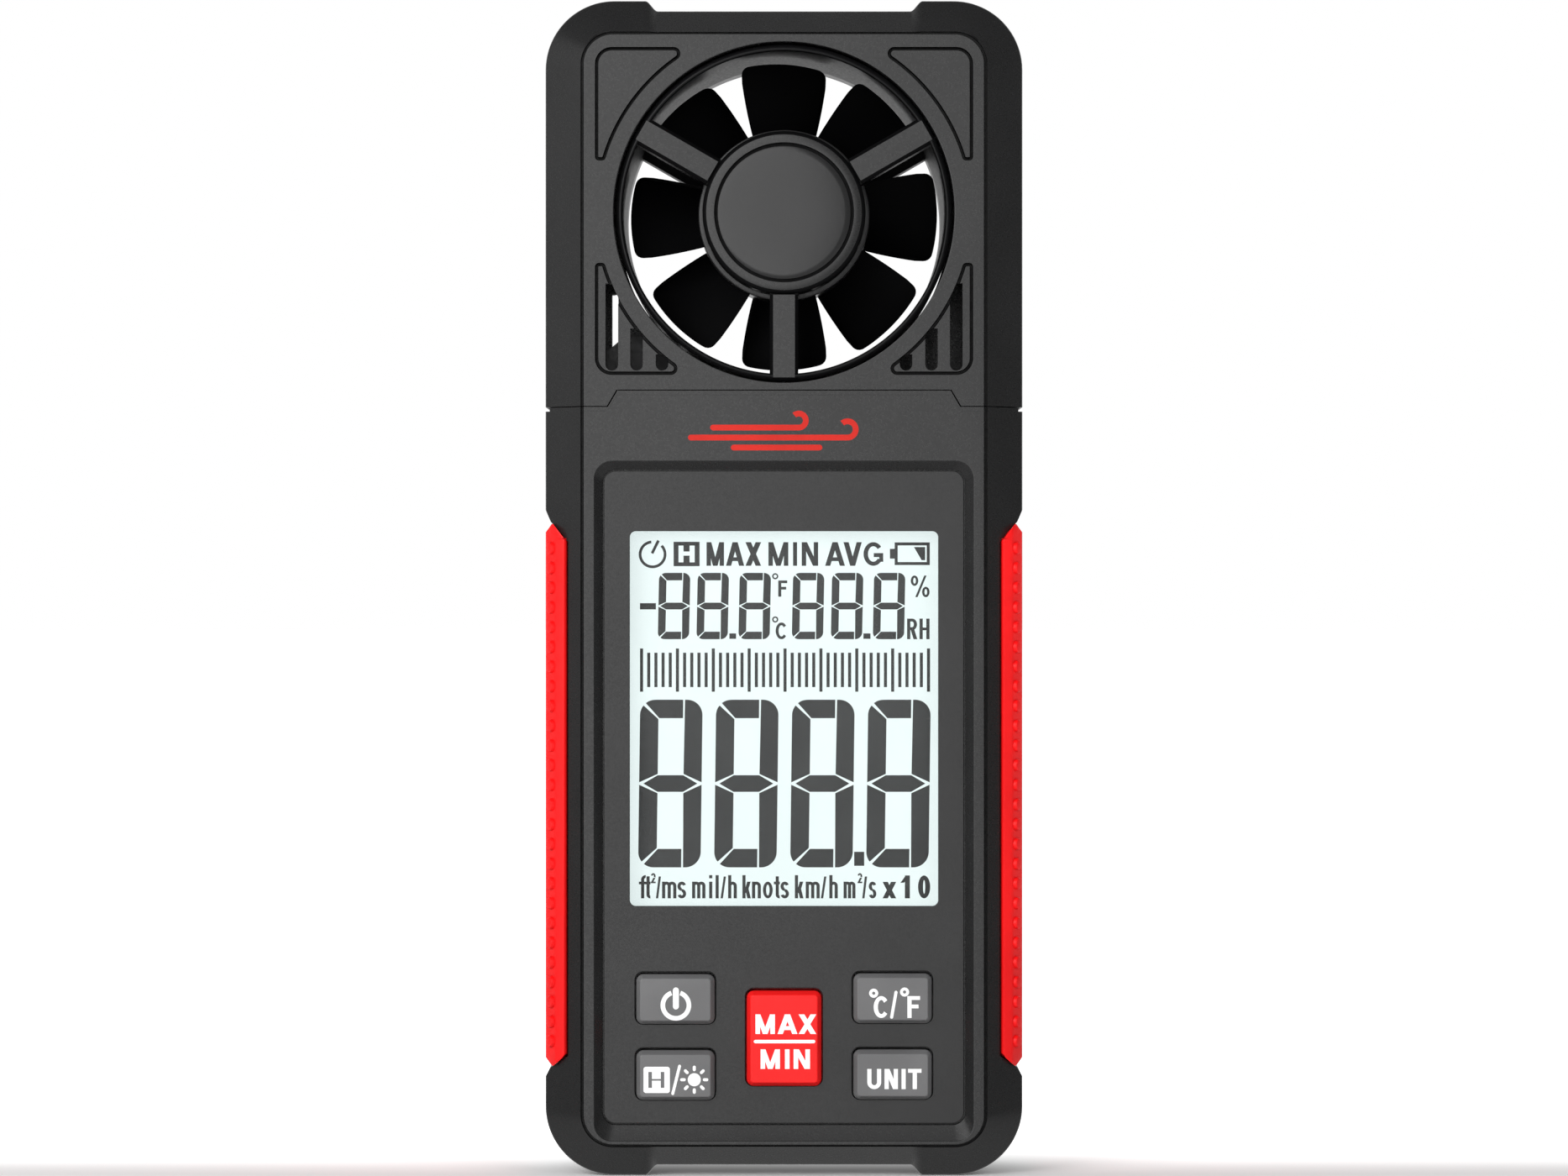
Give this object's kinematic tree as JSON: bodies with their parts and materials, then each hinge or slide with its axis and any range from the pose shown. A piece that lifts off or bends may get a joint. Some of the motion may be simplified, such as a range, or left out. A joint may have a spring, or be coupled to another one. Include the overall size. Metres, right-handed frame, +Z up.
{
  "type": "handheld weather meter",
  "caption": "Pocket weather meter: a bladed vane in a round duct above a backlit display and a small keypad, with red side grips and a rear battery door.",
  "frame": {"origin": "middle of the footprint, on the surface that the meter stands on", "axes": "+Z up the meter's length to the vane head, +X to the right of someone reading the display, display and vane face -Y"},
  "size_m": [0.065, 0.029, 0.16],
  "materials": {
    "case_black": "fine spark texture",
    "grip_red": "satin, moulded studs",
    "faceplate_grey": "smooth satin",
    "clear_lens": "clear, polished",
    "lcd_glass": "backlit liquid crystal panel",
    "backlight_white": "white diffuser",
    "frame_white": "plain moulded",
    "duct_black": "high gloss",
    "rotor_black": "satin",
    "key_grey": "satin",
    "key_red": "satin",
    "silicone": "matt",
    "board_green": "solder mask",
    "chip_black": "moulded",
    "steel": "plain",
    "nickel_contact": "nickel plated",
    "cell_sleeve": "printed sleeve, plain",
    "cable_grey": "plain sheath"
  },
  "bodies": {
    "case": {"head_front_cover": "case_black", "head_rear_cover": "case_black", "body_front_shell": "case_black", "body_rear_shell": "case_black", "left_grip": "grip_red", "right_grip": "grip_red", "faceplate": "faceplate_grey", "display_window": "clear_lens", "lcd_panel": "lcd_glass", "backlight_panel": "backlight_white", "backlight_led_strip": "backlight_white", "lcd_connector_strip": "silicone", "lcd_frame": "frame_white", "keypad_mat": "silicone", "main_board": "board_green", "microcontroller": "chip_black", "quartz_crystal": "steel", "sensor_connector": "frame_white", "air_sensor_board": "board_green", "humidity_sensor": "frame_white", "rotation_sensor_board": "board_green", "hall_sensor": "chip_black", "vane_sensor_cable": "cable_grey", "air_sensor_cable": "cable_grey", "front_vane_frame": "duct_black", "rear_vane_frame": "duct_black", "front_hub_cap": "case_black", "rear_hub_cap": "case_black", "front_bearing": "steel", "rear_bearing": "steel", "battery_1": "cell_sleeve", "battery_2": "cell_sleeve", "battery_3": "cell_sleeve", "battery_spring_1": "nickel_contact", "battery_spring_2": "nickel_contact", "battery_spring_3": "nickel_contact", "negative_contact": "nickel_contact", "positive_contact": "nickel_contact", "lower_contact_link": "nickel_contact", "upper_contact_link": "nickel_contact", "body_screw_1": "steel", "body_screw_2": "steel", "body_screw_3": "steel", "body_screw_4": "steel", "head_screw_1": "steel", "head_screw_2": "steel", "neck_screw_1": "steel", "neck_screw_2": "steel"},
    "rotor": {"vane_rotor": "rotor_black", "rotor_shaft": "steel", "rotor_magnet": "steel"},
    "power_key": {"power_button": "key_grey"},
    "hold_light_key": {"hold_light_button": "key_grey"},
    "temperature_unit_key": {"temperature_unit_button": "key_grey"},
    "unit_key": {"unit_button": "key_grey"},
    "max_min_key": {"max_min_button": "key_red"},
    "door": {"battery_door": "case_black"}
  },
  "joints": [
    {"name": "rotor_spin", "type": "hinge", "parent": "case", "child": "rotor", "pos_m": [0, 0, 0.13085], "axis": [0, 1, 0], "continuous": true},
    {"name": "power_press", "type": "slide", "parent": "case", "child": "power_key", "axis": [0, 1, 0], "range_m": [0, 0.0008], "stiffness_N_per_m": 400, "springref_m": -0.0005},
    {"name": "hold_light_press", "type": "slide", "parent": "case", "child": "hold_light_key", "axis": [0, 1, 0], "range_m": [0, 0.0008], "stiffness_N_per_m": 400, "springref_m": -0.0005},
    {"name": "temperature_unit_press", "type": "slide", "parent": "case", "child": "temperature_unit_key", "axis": [0, 1, 0], "range_m": [0, 0.0008], "stiffness_N_per_m": 400, "springref_m": -0.0005},
    {"name": "unit_press", "type": "slide", "parent": "case", "child": "unit_key", "axis": [0, 1, 0], "range_m": [0, 0.0008], "stiffness_N_per_m": 400, "springref_m": -0.0005},
    {"name": "max_min_press", "type": "slide", "parent": "case", "child": "max_min_key", "axis": [0, 1, 0], "range_m": [0, 0.0008], "stiffness_N_per_m": 400, "springref_m": -0.0005},
    {"name": "door_hinge", "type": "hinge", "parent": "case", "child": "door", "pos_m": [0, 0.0132, 0.0159], "axis": [-1, 0, 0], "range_deg": [0, 40]}
  ]
}
